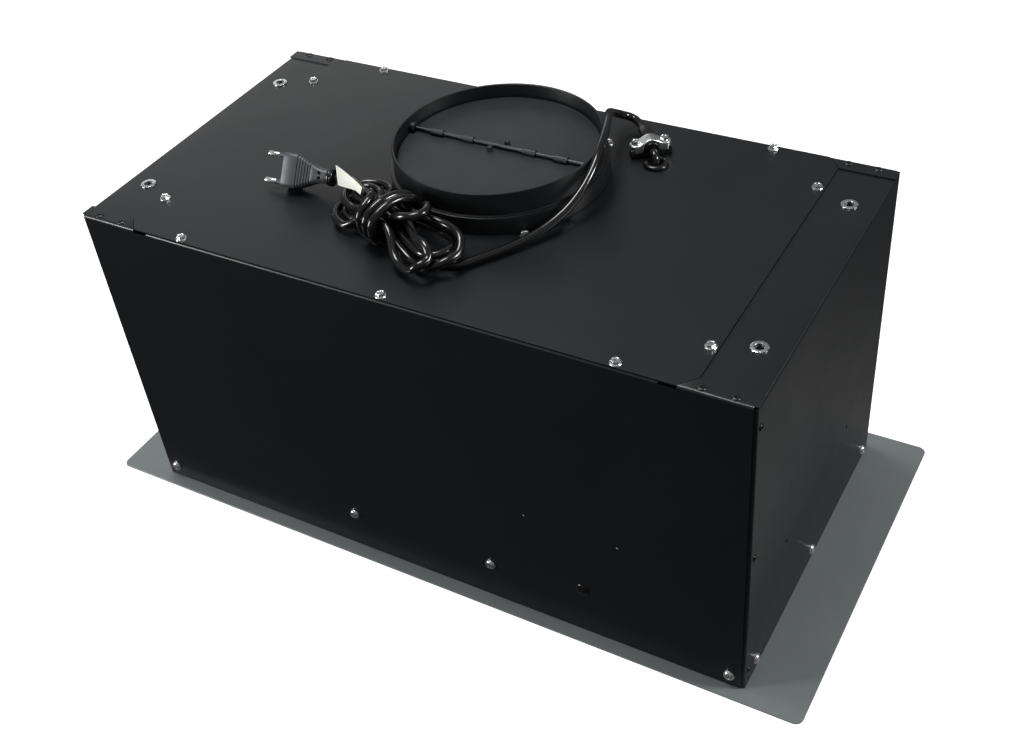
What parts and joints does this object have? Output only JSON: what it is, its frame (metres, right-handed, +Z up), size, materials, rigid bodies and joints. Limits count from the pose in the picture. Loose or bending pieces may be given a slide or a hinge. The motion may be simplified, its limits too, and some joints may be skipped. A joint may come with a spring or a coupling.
{
  "type": "downdraft vent",
  "caption": "Built-in extractor hood housing on its face plate: folded sheet box, duct collar with two damper flaps, blower, lamps, push buttons, grease filter and a tied mains lead.",
  "frame": {"origin": "bottom centre of the face plate", "axes": "+X along the face plate's long side, towards the grommet's side; +Y to the rear; +Z up, out of the duct collar"},
  "size_m": [0.6, 0.29, 0.3037],
  "materials": {
    "black_sheet": "satin black powder coat",
    "grey_plate": "satin grey paint",
    "zinc_screw": "bright zinc",
    "black_rivet": "black, slightly shiny",
    "black_plug": "shiny",
    "collar_plastic": "fine satin",
    "flap_plastic": "fine satin",
    "steel_pin": "drawn",
    "clamp_steel": "bright zinc",
    "saddle_plastic": "satin",
    "grommet_rubber": "shiny rubber",
    "cord_jacket": "glossy",
    "sleeve_plastic": "satin",
    "plug_plastic": "satin",
    "plug_metal": "nickel plated",
    "paper": "bare white paper",
    "galvanised": "galvanised",
    "wheel_plastic": "satin",
    "shaft_steel": "ground",
    "motor_case": "grey paint",
    "capacitor_case": "satin white",
    "terminal_plastic": "satin white",
    "lamp_case": "satin white",
    "lamp_glass": "frosted",
    "bezel_plastic": "shiny black",
    "button_plastic": "shiny grey",
    "switch_plastic": "satin black",
    "filter_metal": "natural"
  },
  "bodies": {
    "housing": {"face_frame": "grey_plate", "front_panel": "black_sheet", "rear_panel": "black_sheet", "left_side_panel": "black_sheet", "right_side_panel": "black_sheet", "top_plate": "black_sheet", "suspension_nuts": "zinc_screw", "top_plate_screws": "zinc_screw", "blower_screws": "zinc_screw", "panel_screws": "zinc_screw", "black_rivets": "black_rivet", "knockout_plug": "black_plug", "duct_collar": "collar_plastic", "damper_pin": "steel_pin", "scroll_wrap": "galvanised", "scroll_left_cheek": "galvanised", "scroll_right_cheek": "galvanised", "inlet_rings": "galvanised", "motor_body": "motor_case", "motor_bracket": "galvanised", "motor_screws": "zinc_screw", "capacitor": "capacitor_case", "capacitor_clip": "galvanised", "terminal_box": "galvanised", "terminal_box_lid": "galvanised", "terminal_block": "terminal_plastic", "lamp_housing_left": "lamp_case", "lamp_housing_right": "lamp_case", "lamp_lenses": "lamp_glass", "control_bezel": "bezel_plastic", "switch_block": "switch_plastic", "switch_bracket": "galvanised", "filter_catches": "clamp_steel", "cable_grommet": "grommet_rubber", "cord_entry": "cord_jacket", "cord_sleeve": "sleeve_plastic", "clamp_saddle": "saddle_plastic", "cord_clamp": "clamp_steel", "clamp_screws": "zinc_screw", "mains_cord": "cord_jacket", "cord_hank": "cord_jacket", "cord_tail": "cord_jacket", "plug_body": "plug_plastic", "plug_pins": "plug_metal", "plug_strain_ring": "plug_plastic", "cord_tag": "paper"},
    "front_flap": {"damper_flap_front": "flap_plastic"},
    "rear_flap": {"damper_flap_rear": "flap_plastic"},
    "fan": {"wheel_disc": "wheel_plastic", "wheel_rings": "wheel_plastic", "wheel_blades": "wheel_plastic", "motor_shaft": "shaft_steel"},
    "button_1": {"push_button_1": "button_plastic"},
    "button_2": {"push_button_2": "button_plastic"},
    "button_3": {"push_button_3": "button_plastic"},
    "button_4": {"push_button_4": "button_plastic"},
    "button_5": {"push_button_5": "button_plastic"},
    "filter": {"filter_frame": "filter_metal", "finger_pull": "bezel_plastic", "filter_mesh": "filter_metal"}
  },
  "joints": [
    {"name": "front_flap_hinge", "type": "hinge", "parent": "housing", "child": "front_flap", "pos_m": [0, 0.0266, 0.2815], "axis": [-1, 0, 0], "range_deg": [0, 78]},
    {"name": "rear_flap_hinge", "type": "hinge", "parent": "housing", "child": "rear_flap", "pos_m": [0, 0.0266, 0.2815], "axis": [1, 0, 0], "range_deg": [0, 78]},
    {"name": "fan_spin", "type": "hinge", "parent": "housing", "child": "fan", "pos_m": [0, -0.022, 0.123], "axis": [1, 0, 0], "continuous": true},
    {"name": "filter_swing", "type": "hinge", "parent": "housing", "child": "filter", "pos_m": [0, 0.1, 0.001], "axis": [1, 0, 0], "range_deg": [0, 60]},
    {"name": "button_1_press", "type": "slide", "parent": "housing", "child": "button_1", "axis": [0, 0, 1], "range_m": [0, 0.003], "stiffness_N_per_m": 400, "springref_m": -0.002},
    {"name": "button_2_press", "type": "slide", "parent": "housing", "child": "button_2", "axis": [0, 0, 1], "range_m": [0, 0.003], "stiffness_N_per_m": 400, "springref_m": -0.002},
    {"name": "button_3_press", "type": "slide", "parent": "housing", "child": "button_3", "axis": [0, 0, 1], "range_m": [0, 0.003], "stiffness_N_per_m": 400, "springref_m": -0.002},
    {"name": "button_4_press", "type": "slide", "parent": "housing", "child": "button_4", "axis": [0, 0, 1], "range_m": [0, 0.003], "stiffness_N_per_m": 400, "springref_m": -0.002},
    {"name": "button_5_press", "type": "slide", "parent": "housing", "child": "button_5", "axis": [0, 0, 1], "range_m": [0, 0.003], "stiffness_N_per_m": 400, "springref_m": -0.002}
  ]
}
